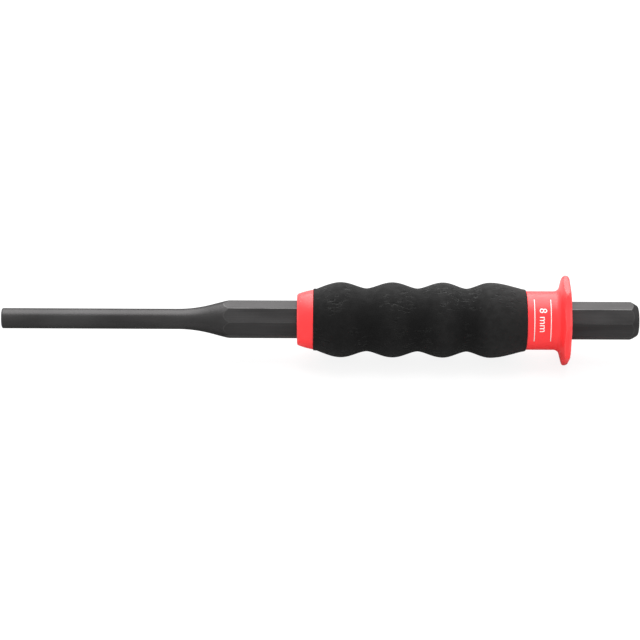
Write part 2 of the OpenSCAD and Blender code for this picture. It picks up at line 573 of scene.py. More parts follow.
@dataclass(frozen=True)
class InkFinish(Finish):
    """White printing ink, a little thin in places."""

    thin_size: float = 0.4 * MM
    thin_tone: float = 0.9

    def material(self) -> bpy.types.Material:
        """Makes the material.

        Returns:
            The material.
        """
        material, board, shader, place = self.start()
        cover = board.mottle(place, self.thin_size)
        board.plug(shader.inputs["Base Color"], board.tint(cover, self.shade(self.thin_tone), self.colour))
        return material


@dataclass(frozen=True)
class Octagon:
    """Regular octagon with rounded corners and one flat facing up."""

    apothem: float
    corner: float

    @property
    def flat_end(self) -> float:
        """Angle from the middle of a flat to its end, seen from the octagon's middle."""
        return math.atan2((self.apothem - self.corner) * math.tan(HALF_SIDE), self.apothem)

    def reach(self, angles: Points) -> Points:
        """Distance from the middle to the outline.

        Args:
            angles: Angles from the top, in radians.

        Returns:
            One distance for each angle.
        """
        turn = np.abs((angles + HALF_SIDE) % (2 * HALF_SIDE) - HALF_SIDE)
        inner = self.apothem - self.corner
        along = inner * (np.cos(turn) + np.sin(turn) * math.tan(HALF_SIDE))
        spare = self.corner**2 - (inner / math.cos(HALF_SIDE)) ** 2 + along**2
        rounded = along + np.sqrt(np.maximum(spare, 0.0))
        return np.where(turn < self.flat_end, self.apothem / np.cos(turn), rounded)

    def angles(self, flat_steps: int, corner_steps: int) -> Points:
        """Angles of the points of a ring, closest together near the ends of the flats.

        Args:
            flat_steps: Steps across a flat.
            corner_steps: Steps round a corner, an even number.

        Returns:
            Angles from the top, all round.
        """
        across = np.sin(np.linspace(-math.pi / 2, math.pi / 2, flat_steps + 1))
        flat = np.arctan(across * math.tan(self.flat_end))
        corner = np.linspace(self.flat_end, 2 * HALF_SIDE - self.flat_end, corner_steps + 1)[1:-1]
        side = np.concatenate([flat, corner])
        return np.concatenate([side + k * 2 * HALF_SIDE for k in range(SIDES)])


@dataclass(frozen=True)
class Corner:
    """A corner of a section: its place along the tool, its distance from the axis and its rounding.

    Each is one number where the piece is round, or one for each direction round the axis. The steps
    divide the straight stretch that leads on from the corner.
    """

    x: Points | float
    radius: Points | float
    rounding: Points | float = 0.0
    steps: int = 1


@dataclass(frozen=True)
class Section:
    """Closed outline of a ring-shaped piece, walked from its front face outwards and back in its bore."""

    corners: list[Corner]
    angles: Points
    round_steps: int = 8
    support: float = 0.15 * MM
    support_share: float = 0.25

    def _place(self, index: int) -> Points:
        """Place and distance from the axis of a corner.

        Args:
            index: Which corner, counted round the outline.

        Returns:
            One pair for each direction.
        """
        corner = self.corners[index % len(self.corners)]
        x, radius, _ = np.broadcast_arrays(corner.x, corner.radius, self.angles)
        return np.stack([x, radius], axis=-1)

    def _rounded(self, index: int) -> list[Points]:
        """Points round one corner.

        Args:
            index: Which corner.

        Returns:
            Rows from its first tangent point to its last, or the corner alone where it is sharp.
        """
        here, rounding = self._place(index), np.reshape(self.corners[index].rounding, (-1, 1))
        if not rounding.any():
            return [here]
        back, forth = self._place(index - 1) - here, self._place(index + 1) - here
        back /= np.linalg.norm(back, axis=-1, keepdims=True)
        forth /= np.linalg.norm(forth, axis=-1, keepdims=True)
        half = (math.pi - np.arccos((back * forth).sum(axis=-1, keepdims=True))) / 2
        start, end = here + back * rounding * np.tan(half), here + forth * rounding * np.tan(half)
        points = []
        for turn in np.linspace(-1, 1, self.round_steps + 1):
            forward = (np.sin(turn * half) / np.sin(half) + 1) / 2
            swell = (np.cos(turn * half) - np.cos(half)) / (np.sin(half) * np.tan(half))
            points.append(start + forward * (end - start) + swell * (here - (start + end) / 2))
        return points

    def _stretch(self, start: Points, end: Points, steps: int) -> list[Points]:
        """Points of a straight stretch, with one close to each end.

        Args:
            start: Where it starts, which isn't among the points.
            end: Where it ends.
            steps: How many steps divide it.

        Returns:
            Rows of points.
        """
        length = np.linalg.norm(end - start, axis=-1, keepdims=True)
        close = np.minimum(self.support_share / steps, self.support / np.maximum(length, self.support))
        shares = [close, *[k / steps for k in range(1, steps)], 1 - close, 1.0]
        return [start + share * (end - start) for share in shares]

    def path(self) -> Points:
        """All points of the outline.

        Returns:
            Rows of place and distance from the axis, in every direction.
        """
        rounded = [self._rounded(i) for i in range(len(self.corners))]
        rows: list[Points] = []
        for i, points in enumerate(rounded):
            rows.extend(points[1:])
            following = rounded[(i + 1) % len(rounded)]
            rows.extend(self._stretch(points[-1], following[0], self.corners[i].steps))
        return np.array(rows)


class Skin:
    """Closed skin stretched over rings of points that follow each other along a piece."""

    def __init__(self, rings: Points, ring_shaped: bool) -> None:
        """Keeps the rings, and whether the last one joins the first or both ends are closed."""
        self.rings = rings
        self.ring_shaped = ring_shaped

    def _normals(self) -> Points:
        """Outward direction at every point.

        Returns:
            One vector of length 1 for each point.
        """
        along = np.gradient(self.rings, axis=0)
        if self.ring_shaped:
            along = np.roll(self.rings, -1, axis=0) - np.roll(self.rings, 1, axis=0)
        around = np.roll(self.rings, -1, axis=1) - np.roll(self.rings, 1, axis=1)
        normals = np.cross(around, along)
        return normals / np.maximum(np.linalg.norm(normals, axis=2, keepdims=True), TINY)

    def curvature(self) -> Points:
        """Sharpest outward bend at every point.

        Returns:
            One bend for each point, in radians for each millimetre.
        """
        normals = self._normals()
        bends = []
        for axis in (0, 1):
            total = np.zeros(self.rings.shape[:2])
            for step in (-1, 1):
                gap = self.rings - np.roll(self.rings, step, axis=axis)
                length = np.maximum((gap**2).sum(axis=2), TINY)
                total += (gap * normals).sum(axis=2) / length
            bends.append(total)
        return np.maximum(*bends) * MM

    def mesh(self, name: str, marks: dict[str, Points]) -> bpy.types.Mesh:
        """Makes the mesh.

        Args:
            name: Name of the mesh.
            marks: Numbers that its points carry, by name, one for each point of the rings.

        Returns:
            The mesh, smooth, with its faces pointing outwards.
        """
        ring_count, point_count, _ = self.rings.shape
        index = np.arange(ring_count * point_count).reshape(ring_count, point_count)
        following = np.roll(index, -1, axis=0) if self.ring_shaped else index[1:]
        first = index if self.ring_shaped else index[:-1]
        quads = np.stack(
            [first, np.roll(first, -1, axis=1), np.roll(following, -1, axis=1), following], axis=-1
        )
        faces = quads.reshape(-1, 4).tolist()
        points = self.rings.reshape(-1, 3)
        if not self.ring_shaped:
            poles = np.array([self.rings[0].mean(axis=0), self.rings[-1].mean(axis=0)])
            points = np.concatenate([points, poles])
            front, back = len(points) - 2, len(points) - 1
            for a, b in zip(index[0], np.roll(index[0], -1)):
                faces.append([front, int(b), int(a)])
            for a, b in zip(index[-1], np.roll(index[-1], -1)):
                faces.append([back, int(a), int(b)])
        mesh = bpy.data.meshes.new(name)
        mesh.from_pydata(points.tolist(), [], faces)
        for mark, values in marks.items():
            flat = np.zeros(len(points), np.float32)
            flat[: values.size] = values.ravel()
            mesh.attributes.new(mark, "FLOAT", "POINT").data.foreach_set("value", flat)
        mesh.shade_smooth()
        return mesh


@dataclass(frozen=True)
class Tool:
    """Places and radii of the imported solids, in metres.

    The axis is a height. The tip, neck, striking face, front collar, foam and rear collar are places
    along the tool where these start, and the sleeve has one for each of its ends.
    """

    axis: float
    tip: float
    neck: float
    strike: float
    collar: float
    foam: float
    rear_collar: float
    sleeve_front: float
    sleeve_back: float
    pin_radius: float
    bar_apothem: float
    collar_radius: float
    foam_radius: float
    flange_apothem: float

    @classmethod
    def read(cls) -> "Tool":
        """Reads the places and radii from the frame.

        Returns:
            The tool.
        """
        nodes = ("punch_pin", "punch_bar", "guard_sleeve", "front_collar", "foam_grip")
        pin, bar, sleeve, collar, foam = (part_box(node) for node in nodes)
        return cls(
            axis=(pin[0].z + pin[1].z) / 2,
            tip=pin[0].x,
            neck=pin[1].x,
            strike=bar[1].x,
            collar=collar[0].x,
            foam=foam[0].x,
            rear_collar=foam[1].x,
            sleeve_front=sleeve[0].x,
            sleeve_back=sleeve[1].x,
            pin_radius=(pin[1].z - pin[0].z) / 2,
            bar_apothem=(bar[1].z - bar[0].z) / 2,
            collar_radius=(collar[1].y - collar[0].y) / 2,
            foam_radius=(foam[1].y - foam[0].y) / 2,
            flange_apothem=(sleeve[1].z - sleeve[0].z) / 2,
        )

    def ring(self, x: Points | float, reach: Points, angles: Points) -> Points:
        """Points of a ring round the axis.

        Args:
            x: Place along the tool, one for all points or one for each.
            reach: Distance of each point from the axis.
            angles: Angle of each point from the top, towards -Y.

        Returns:
            The points.
        """
        return np.stack(
            [np.broadcast_to(x, angles.shape), -reach * np.sin(angles), self.axis + reach * np.cos(angles)],
            axis=-1,
        )

    def lathe(self, section: Section) -> Skin:
        """Skin of a ring-shaped piece from its section."""
        rings = [self.ring(row[:, 0], row[:, 1], section.angles) for row in section.path()]
        return Skin(np.array(rings), ring_shaped=True)


class Piece:
    """A visible piece of the tool and where it belongs."""

    def __init__(self, name: str, mesh: bpy.types.Mesh, material: bpy.types.Material) -> None:
        """Makes the object and dresses it.

        Args:
            name: Name of the piece.
            mesh: Its mesh, already in place.
            material: Its finish.
        """
        self.object = bpy.data.objects.new(name, mesh)
        bpy.context.scene.collection.objects.link(self.object)
        mesh.materials.clear()
        mesh.materials.append(material)

    def settle(self, body: Body, slot: Slot | None, *nodes: str) -> bpy.types.Object:
        """Ties the piece to the frame.

        Args:
            body: Body that it moves with.
            slot: Material slot of the record, if it has one; not used.
            nodes: Solids that it stands for.

        Returns:
            The object.
        """
        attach(self.object, body.value)
        if nodes:
            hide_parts(*nodes)
        LOG.info("%s: %d faces on %s", self.object.name, len(self.object.data.polygons), body.value)
        return self.object


@dataclass
class Punch:
    """Steel punch: pin, hollow neck, octagonal bar and chamfered striking end."""

    tool: Tool
    finish: SteelFinish
    tip_bevel: float = 0.4 * MM
    tip_round: float = 0.1 * MM
    tip_support: float = 0.3 * MM
    neck_radius: float = 52 * MM
    neck_slope: float = math.radians(14.5)
    corner_radius: float = 0.4 * MM
    edge_blend: float = 0.09 * MM
    edge_zone: float = 0.7 * MM
    crease_wear: float = 1.6
    strike_radius: float = 4.8 * MM
    strike_round: float = 1.6 * MM
    strike_slope: float = math.radians(30)
    flat_steps: int = 12
    corner_steps: int = 6
    pin_steps: int = 29
    neck_steps: int = 35
    cone_steps: int = 8
    edge_steps: int = 12
    bar_steps: int = 25
    chamfer_steps: int = 7
    strike_steps: int = 11
    face_shares: tuple[float, ...] = (0.02, 0.3, 0.6, 0.85, 0.97)

    @property
    def _outline(self) -> Octagon:
        """Outline of the bar."""
        return Octagon(self.tool.bar_apothem, self.corner_radius)

    @staticmethod
    def _between(start: Points | float, end: Points | float, steps: int) -> list[Points]:
        """Places in even steps between two places, without these."""
        return [start * (1 - share) + end * share for share in np.linspace(0, 1, steps + 1)[1:-1]]

    def _turned(self, stations: list[Station], angles: Points) -> list[Points]:
        """Round rings at places and radii along the tool."""
        return [self.tool.ring(x, np.full(angles.shape, r), angles) for x, r in stations]

    def _pin(self) -> list[Station]:
        """Places and radii of the tip, the pin and the hollow of the neck.

        Returns:
            The stations, from the middle of the tip's face to the start of the neck's cone.
        """
        tool, soft = self.tool, self.tip_round
        flat, shoulder = tool.pin_radius - self.tip_bevel, tool.tip + self.tip_bevel
        stations = [(tool.tip, share * flat) for share in self.face_shares]
        stations += [
            (tool.tip, flat - soft),
            (tool.tip + soft / 2, flat + soft / 2),
            (shoulder - soft / 2, tool.pin_radius - soft / 2),
            (shoulder + soft, tool.pin_radius),
        ]
        straight = np.linspace(shoulder + self.tip_support, tool.neck, self.pin_steps + 1)[:-1]
        stations += [(x, tool.pin_radius) for x in straight]
        for slope in np.linspace(0, self.neck_slope, self.neck_steps + 1)[:-1]:
            rise = self.neck_radius * (1 - math.cos(slope))
            stations.append((tool.neck + self.neck_radius * math.sin(slope), tool.pin_radius + rise))
        return stations

    def _bar(self, angles: Points) -> tuple[list[Points], list[Points], list[Points]]:
        """Rings of the neck's cone, the octagonal bar and the chamfer.

        Args:
            angles: Angles of the points of a ring.

        Returns:
            The rings, where they are turned and where flats end in a crease.
        """
        tool, reach, blend = self.tool, self._outline.reach(angles), self.edge_blend
        neck_rate, strike_rate = math.tan(self.neck_slope), math.tan(self.strike_slope)
        cone_x = tool.neck + self.neck_radius * math.sin(self.neck_slope)
        cone_r = tool.pin_radius + self.neck_radius * (1 - math.cos(self.neck_slope))
        edge_x = tool.strike - self.strike_round * (1 - math.sin(self.strike_slope))
        edge_r = self.strike_radius + self.strike_round * math.cos(self.strike_slope)
        front = cone_x + (reach - cone_r) / neck_rate
        back = edge_x - (reach - edge_r) / strike_rate
        zone = self.edge_zone * np.sin(np.linspace(-math.pi / 2, math.pi / 2, self.edge_steps + 1)) ** 3
        places = [np.full_like(front, cone_x)]
        places += self._between(cone_x, front - self.edge_zone, self.cone_steps)
        places += [front + step for step in zone]
        places += self._between(front + self.edge_zone, back - self.edge_zone, self.bar_steps)
        places += [back + step for step in zone]
        places += self._between(back + self.edge_zone, edge_x, self.chamfer_steps)
        rings, turned, creased = [], [], []
        for x in places:
            cut = np.minimum(cone_r + (x - cone_x) * neck_rate, edge_r + (edge_x - x) * strike_rate)
            near = np.maximum(blend - np.abs(cut - reach), 0.0) / blend
            rings.append(tool.ring(x, np.minimum(cut, reach) - near**2 * blend / 4, angles))
            turned.append(np.clip(0.5 + (reach - cut) / blend, 0.0, 1.0))
            creased.append(near)
        return rings, turned, creased

    def _strike(self) -> list[Station]:
        """Places and radii of the rounded edge and the striking face.

        Returns:
            The stations, from the end of the chamfer to the middle of the face.
        """
        centre = self.tool.strike - self.strike_round
        stations = []
        for slope in np.linspace(self.strike_slope, math.pi / 2, self.strike_steps + 1):
            radius = self.strike_radius + self.strike_round * math.cos(slope)
            stations.append((centre + self.strike_round * math.sin(slope), radius))
        for share in reversed(self.face_shares):
            stations.append((self.tool.strike, share * self.strike_radius))
        return stations

    def build(self) -> bpy.types.Object:
        """Builds the punch as one skin and dresses it.

        Returns:
            The object.
        """
        angles = self._outline.angles(self.flat_steps, self.corner_steps)
        head, tail = self._turned(self._pin(), angles), self._turned(self._strike(), angles)
        bar, turned, creased = self._bar(angles)
        skin = Skin(np.array([*head, *bar, *tail]), ring_shaped=False)
        full, none = np.ones(angles.shape), np.zeros(angles.shape)
        crease = np.array([*[none] * len(head), *creased, *[none] * len(tail)])
        marks = {
            CURVATURE: skin.curvature() + self.crease_wear * crease,
            TURNED: np.array([*[full] * len(head), *turned, *[full] * len(tail)]),
        }
        piece = Piece("punch", skin.mesh("punch", marks), self.finish.material())
        return piece.settle(Body.PUNCH, Slot.STEEL, "punch_pin", "punch_bar")


@dataclass
class Guard:
    """Red mouldings of the guard: the sleeve with its flange, and the front collar."""

    tool: Tool
    finish: MouldingFinish
    bar_clearance: float = 0.05 * MM
    mouth_round: float = 0.25 * MM
    spigot_radius: float = 8.681 * MM
    tube_radius: float = 9.281 * MM
    glue_gap: float = 0.05 * MM
    rear_collar_radius: float = 11.531 * MM
    rear_collar_round: float = 0.25 * MM
    flange_root: float = 4.06 * MM
    flange_fillet: float = 2.5 * MM
    flange_lean: float = 0.27
    flange_corner: float = 2 * MM
    rim_flat_rounds: tuple[float, float] = (0.3 * MM, 0.8 * MM)
    rim_corner_rounds: tuple[float, float] = (1.0 * MM, 1.5 * MM)
    rim_round_growth: float = 4.0
    spigot_round: float = 0.4 * MM
    tube_round: float = 0.1 * MM
    collar_front_radius: float = 9.95 * MM
    collar_edge_round: float = 0.9 * MM
    collar_rim_round: float = 0.15 * MM
    collar_bow: float = 0.2 * MM
    bow_start: int = 2
    bow_steps: int = 10
    bore_corner: float = 0.02 * MM
    flat_steps: int = 12
    corner_steps: int = 8
    tube_steps: int = 40
    side_steps: int = 6

    @property
    def _rim(self) -> Octagon:
        """Outline of the flange's rim."""
        return Octagon(self.tool.flange_apothem, self.flange_corner)

    def _angles(self) -> Points:
        """Angles of the points of every ring, closest together at the flange's corners."""
        return self._rim.angles(self.flat_steps, self.corner_steps)

    def _bore(self, angles: Points) -> Points:
        """Distance from the axis to the octagonal bore, in every direction."""
        return Octagon(self.tool.bar_apothem + self.bar_clearance, self.bore_corner).reach(angles)

    def _sleeve_section(self) -> Section:
        """Section of the sleeve: spigot, tube, round collar, flange and bore.

        The front of the flange leans back, and the edges of its rim are crisp along the flats and
        rounder towards the corners.

        Returns:
            The section.
        """
        tool, angles = self.tool, self._angles()
        bore, rim = self._bore(angles), self._rim.reach(angles)
        root = tool.sleeve_back - self.flange_root
        edge = root + self.flange_lean * (rim - self.rear_collar_radius)
        towards_corner = (rim - rim.min()) / (rim.max() - rim.min())
        growth = towards_corner**self.rim_round_growth
        front_round, back_round = (
            flat + growth * (corner - flat)
            for flat, corner in zip(self.rim_flat_rounds, self.rim_corner_rounds)
        )
        corners = [
            Corner(tool.sleeve_front, bore, self.mouth_round),
            Corner(tool.sleeve_front, self.spigot_radius, self.spigot_round, self.side_steps),
            Corner(tool.foam, self.spigot_radius),
            Corner(tool.foam, self.tube_radius, self.tube_round, self.tube_steps),
            Corner(tool.rear_collar, self.tube_radius),
            Corner(tool.rear_collar, self.rear_collar_radius, self.rear_collar_round, self.side_steps),
            Corner(root, self.rear_collar_radius, self.flange_fillet, self.side_steps),
            Corner(edge, rim, front_round, self.side_steps),
            Corner(tool.sleeve_back, rim, back_round, self.side_steps),
            Corner(tool.sleeve_back, bore, self.mouth_round, self.tube_steps),
        ]
        return Section(corners, angles)

    def _collar_section(self) -> Section:
        """Section of the front collar: tapered side that bows out a little, spigot seat and octagonal hole.

        Returns:
            The section.
        """
        tool, angles = self.tool, self._angles()
        bore = self._bore(angles)
        seat = self.spigot_radius + self.glue_gap
        front = np.array([tool.collar, self.collar_front_radius])
        rim = np.array([tool.foam, tool.collar_radius])
        across = np.array([front[1] - rim[1], rim[0] - front[0]])
        across /= np.linalg.norm(across)
        side = []
        for k in range(self.bow_start, self.bow_steps):
            share = k / self.bow_steps
            place = front + share * (rim - front) + 4 * share * (1 - share) * self.collar_bow * across
            side.append(Corner(*place))
        corners = [
            Corner(tool.collar, bore, self.mouth_round),
            Corner(*front, self.collar_edge_round),
            *side,
            Corner(*rim, self.collar_rim_round),
            Corner(tool.foam, seat, self.collar_rim_round, self.side_steps),
            Corner(tool.sleeve_front, seat),
            Corner(tool.sleeve_front, bore, self.mouth_round),
        ]
        return Section(corners, angles)

    def _piece(self, name: str, section: Section, material: bpy.types.Material) -> bpy.types.Object:
        """Builds one moulding, dresses it and ties it to the guard.

        Args:
            name: Name of the solid that it stands for.
            section: Its section.
            material: Its finish.

        Returns:
            The object.
        """
        skin = self.tool.lathe(section)
        mesh = skin.mesh(name, {CURVATURE: skin.curvature()})
        return Piece(f"{name}_moulding", mesh, material).settle(Body.GUARD, Slot.GUARD_PLASTIC, name)

    def build(self) -> list[bpy.types.Object]:
        """Builds both mouldings.

        Returns:
            The sleeve and the front collar.
        """
        material = self.finish.material()
        sections = {"guard_sleeve": self._sleeve_section(), "front_collar": self._collar_section()}
        return [self._piece(name, section, material) for name, section in sections.items()]


class NodePiece:
    """A piece whose mesh comes from a geometry node tree with named inputs."""

    def __init__(self, name: str) -> None:
        """Starts an empty tree with its output.

        Args:
            name: Name of the tree and of the mesh that it makes.
        """
        self.name = name
        self.tree = bpy.data.node_groups.new(name, "GeometryNodeTree")
        self.tree.interface.new_socket("Geometry", in_out="OUTPUT", socket_type="NodeSocketGeometry")
        self.board = Board(self.tree)
        self.given = self.board.add("NodeGroupInput").outputs
        self.values: dict[str, object] = {}

    def take(self, kind: str, values: dict[str, object]) -> None:
        """Adds named inputs.

        Args:
            kind: Type of their sockets.
            values: Their names, and the values that this piece gives them.
        """
        for name, value in values.items():
            socket = self.tree.interface.new_socket(name, in_out="INPUT", socket_type=kind)
            self.values[socket.identifier] = value

    def number(self, name: str) -> Field:
        """A named input as a field."""
        return Field(self.board, self.given[name])

    def moved(self, geometry: Socket, **place: Socket) -> Socket:
        """Geometry moved to a Position or by an Offset."""
        return self.board.output("GeometryNodeSetPosition", Geometry=geometry, **place)

    def joined(self, *geometries: Socket) -> Socket:
        """Several geometries as one.

        Args:
            geometries: What is joined, in order.

        Returns:
            The joined geometry.
        """
        node = self.board.add("GeometryNodeJoinGeometry")
        for geometry in geometries:
            self.board.plug(node.inputs[0], geometry)
        return node.outputs[0]

    def welded(self, geometry: Socket) -> Socket:
        """Geometry with its doubled points merged."""
        return self.board.output("GeometryNodeMergeByDistance", Geometry=geometry, Distance=WELD)

    def finish(self, geometry: Socket) -> bpy.types.Mesh:
        """Ends the tree, runs it and keeps its result as a plain mesh.

        Args:
            geometry: What the tree has made.

        Returns:
            The mesh.
        """
        board = self.board
        smooth = board.output("GeometryNodeSetShadeSmooth", Geometry=geometry)
        real = board.output("GeometryNodeRealizeInstances", Geometry=smooth)
        dressed = board.output("GeometryNodeSetMaterial", Geometry=real, Material=self.given["Material"])
        board.add("NodeGroupOutput", inputs={"Geometry": dressed})
        holder = bpy.data.objects.new(self.name, bpy.data.meshes.new(self.name))
        bpy.context.scene.collection.objects.link(holder)
        modifier = holder.modifiers.new(self.name, "NODES")
        modifier.node_group = self.tree
        for identifier, value in self.values.items():
            modifier[identifier] = value
        depsgraph = bpy.context.evaluated_depsgraph_get()
        mesh = bpy.data.meshes.new_from_object(holder.evaluated_get(depsgraph))
        bpy.data.objects.remove(holder)
        return mesh


@dataclass
class FoamGrip:
    """Foam sleeve with four ridges and three finger grooves."""

    tool: Tool
    finish: FoamFinish
    bore_radius: float = 9.331 * MM
    ridge_height: float = 2.4 * MM
    ridge_fullness: float = 0.8
    front_radius: float = 12.181 * MM
    back_radius: float = 12.281 * MM
    edge_radius: float = 11.631 * MM
    land: float = 1.4 * MM
    edge_round: float = 0.4 * MM
    roll_length: float = 1.3 * MM
    front_slope: float = math.tan(math.radians(21))
    back_slope: float = math.tan(math.radians(14))
    ridge_shares: tuple[float, ...] = (0.130, 0.373, 0.610, 0.833)
    # Paleness of the ridges at the front and back ends; the rise towards the back is painted light.
    front_paleness: float = 0.5
    back_paleness_painted_light: float = 2.2
    ridge_sharpness: float = 2.0
    lump_height: float = 0.05 * MM
    lump_size: float = 3.0 * MM
    lump_detail: float = 4.0
    lump_fade: float = 20.0
    seed: float = 7.0
    rings: int = 430
    ring_points: int = 200
    loop_shares: tuple[float, float, float] = (0.86, 0.88, 0.98)
    crowding: float = 0.6

    def _sizes(self) -> dict[str, float]:
        """Named inputs of the sleeve's tree.

        Returns:
            Their values, by name.
        """
        length = self.tool.rear_collar - self.tool.foam
        ridges = {f"Ridge {k + 1}": share * length for k, share in enumerate(self.ridge_shares)}
        return {
            "Length": length,
            "Front Place": self.tool.foam,
            "Axis Height": self.tool.axis,
            "Bore Radius": self.bore_radius,
            "Ridge Radius": self.tool.foam_radius,
            "Ridge Height": self.ridge_height,
            "Ridge Fullness": self.ridge_fullness,
            "Front Radius": self.front_radius,
            "Back Radius": self.back_radius,
            "Edge Radius": self.edge_radius,
            "Front Land": self.land,
            "Front Edge": self.edge_round,
            "Back Roll": self.roll_length,
            "Front Slope": self.front_slope,
            "Back Slope": self.back_slope,
            "Lump Height": self.lump_height,
            "Lump Size": self.lump_size,
            "Seed": self.seed,
            **ridges,
        }

    @staticmethod
    def _climb(share: Field, foot_slope: Field) -> Field:
        """A rise from 0 to 1 that starts at a slope and ends level."""
        rest = 1.0 - share
        return share * share * (3.0 - 2.0 * share) + foot_slope * share * rest * rest

    def _crest(self, nodes: NodePiece, along: Field) -> Field:
        """1 on the ridges and beyond the outer two, and 0 at the bottom of the grooves.

        Args:
            nodes: The sleeve's tree.
            along: Distance from the front end.

        Returns:
            The height, as a share of the ridges' height.
        """
        ridges = [nodes.number(f"Ridge {k + 1}") for k in range(len(self.ridge_shares))]
        passed = [((along - near) / (far - near)).share() for near, far in zip(ridges, ridges[1:])]
        count = sum(passed[1:], passed[0])
        return (((count * TURN).cos() + 1.0) / 2.0).power(nodes.number("Ridge Fullness"))

    def _outside(self, nodes: NodePiece, along: Field, crest: Field) -> Field:
        """Radius of the outside.

        Args:
            nodes: The sleeve's tree.
            along: Distance from the front end.
            crest: Height of the ridges there, as a share.

        Returns:
            The radius.
        """
        length, ridge_r = nodes.number("Length"), nodes.number("Ridge Radius")
        first, last = nodes.number("Ridge 1"), nodes.number(f"Ridge {len(self.ridge_shares)}")
        land, roll = nodes.number("Front Land"), length - nodes.number("Back Roll")
        radius = ridge_r - nodes.number("Ridge Height") * (1.0 - crest)
        for start, top, end_radius, slope in (
            (land, first, nodes.number("Front Radius"), nodes.number("Front Slope")),
            (roll, last, nodes.number("Back Radius"), nodes.number("Back Slope") * -1.0),
        ):
            fall, run = ridge_r - end_radius, top - start
            share = ((along - start) / run).share()
            radius = radius - fall * (1.0 - self._climb(share, slope * run / fall))
        rolled = ((along - roll) / nodes.number("Back Roll")).share()
        bevelled = (1.0 - along / nodes.number("Front Edge")).share()
        edge_fall = nodes.number("Back Radius") - nodes.number("Edge Radius")
        for share, fall in ((rolled, edge_fall), (bevelled, nodes.number("Front Edge"))):
            radius = radius - fall * (1.0 - (1.0 - share * share).root())
        return radius

    def _ridge_and_back_paleness(self, nodes: NodePiece, along: Field, crest: Field) -> Field:
        """How much paler the foam is painted: most on the ridges, and towards the back end as painted light.

        Args:
            nodes: The sleeve's tree.
            along: Distance from the front end.
            crest: Height of the ridges there, as a share.

        Returns:
            0 in the grooves, and up to the back end's paleness on the ridges.
        """
        share = along / nodes.number("Length")
        # Painted light: the ridges grow paler from the front end to the back end, as if lit from behind.
        wear = self.front_paleness + (self.back_paleness_painted_light - self.front_paleness) * share * share
        return wear * crest.power(self.ridge_sharpness)

    def _lumps(self, nodes: NodePiece, place: Socket, outer: Field) -> Field:
        """Small lumps of the skin, which fade out at both ends.

        Args:
            nodes: The sleeve's tree.
            place: Place on the smooth sleeve.
            outer: 0 at the front end of the outside and 1 at its back end.

        Returns:
            The height.
        """
        noise = nodes.board.field(
            "ShaderNodeTexNoise",
            {"noise_dimensions": "4D"},
            Vector=place,
            W=nodes.number("Seed"),
            Scale=1.0 / nodes.number("Lump Size"),
            Detail=self.lump_detail,
        )
        ends = ((1.0 - outer) * self.lump_fade).share() * (outer * self.lump_fade).share()
        return nodes.number("Lump Height") * (noise * 2.0 - 1.0) * ends

    def _mesh(self, material: bpy.types.Material) -> bpy.types.Mesh:
        """Grows the sleeve by rule: a grid rolled up round the axis and closed through its bore.

        Args:
            material: Its finish.

        Returns:
            The mesh.
        """
        nodes = NodePiece("foam_sleeve")
        nodes.take("NodeSocketFloat", self._sizes())
        nodes.take("NodeSocketMaterial", {"Material": material})
        board = nodes.board
        grid = board.output(
            "GeometryNodeMeshGrid",
            Size_X=1.0,
            Size_Y=1.0,
            Vertices_X=self.rings,
            Vertices_Y=self.ring_points,
        )
        across, around, _ = board.split(board.output("GeometryNodeInputPosition"))
        loop, angle = across + 0.5, (around + 0.5) * TURN
        outer_end, back_end, bore_end = self.loop_shares
        outer = (loop / outer_end).share()
        back_face = ((loop - outer_end) / (back_end - outer_end)).share()
        bore = ((loop - back_end) / (bore_end - back_end)).share()
        front_face = ((loop - bore_end) / (1.0 - bore_end)).share()
        spread = outer - (outer * TURN).sin() * (self.crowding / TURN)
        along = nodes.number("Length") * spread
        crest = self._crest(nodes, along)
        outside, inside = self._outside(nodes, along, crest), nodes.number("Bore Radius")
        front_edge = nodes.number("Front Radius") - nodes.number("Front Edge")
        radius = outside + back_face * (inside - outside) + front_face * (front_edge - inside)
        x = nodes.number("Front Place") + along - nodes.number("Length") * bore
        smooth = board.vector(x, radius * angle.sin(), radius * angle.cos())
        swollen = radius + self._lumps(nodes, smooth, outer)
        height = nodes.number("Axis Height") + swollen * angle.cos()
        place = board.vector(x, swollen * angle.sin(), height)
        # Stores how much paler the foam is painted: on the ridges, and towards the back end as painted
        # light.
        marked = board.output(
            "GeometryNodeStoreNamedAttribute",
            {"data_type": "FLOAT", "domain": "POINT"},
            Geometry=grid,
            Name=PALE_RIDGES_AND_BACK_LIGHT,
            Value=self._ridge_and_back_paleness(nodes, along, crest),
        )
        return nodes.finish(nodes.welded(nodes.moved(marked, Position=place)))

    def build(self) -> bpy.types.Object:
        """Builds the foam sleeve and dresses it.

        Returns:
            The object.
        """
        material = self.finish.material()
        piece = Piece("foam_sleeve", self._mesh(material), material)
        foam = piece.settle(Body.GUARD, Slot.FOAM, "foam_grip")
        return foam


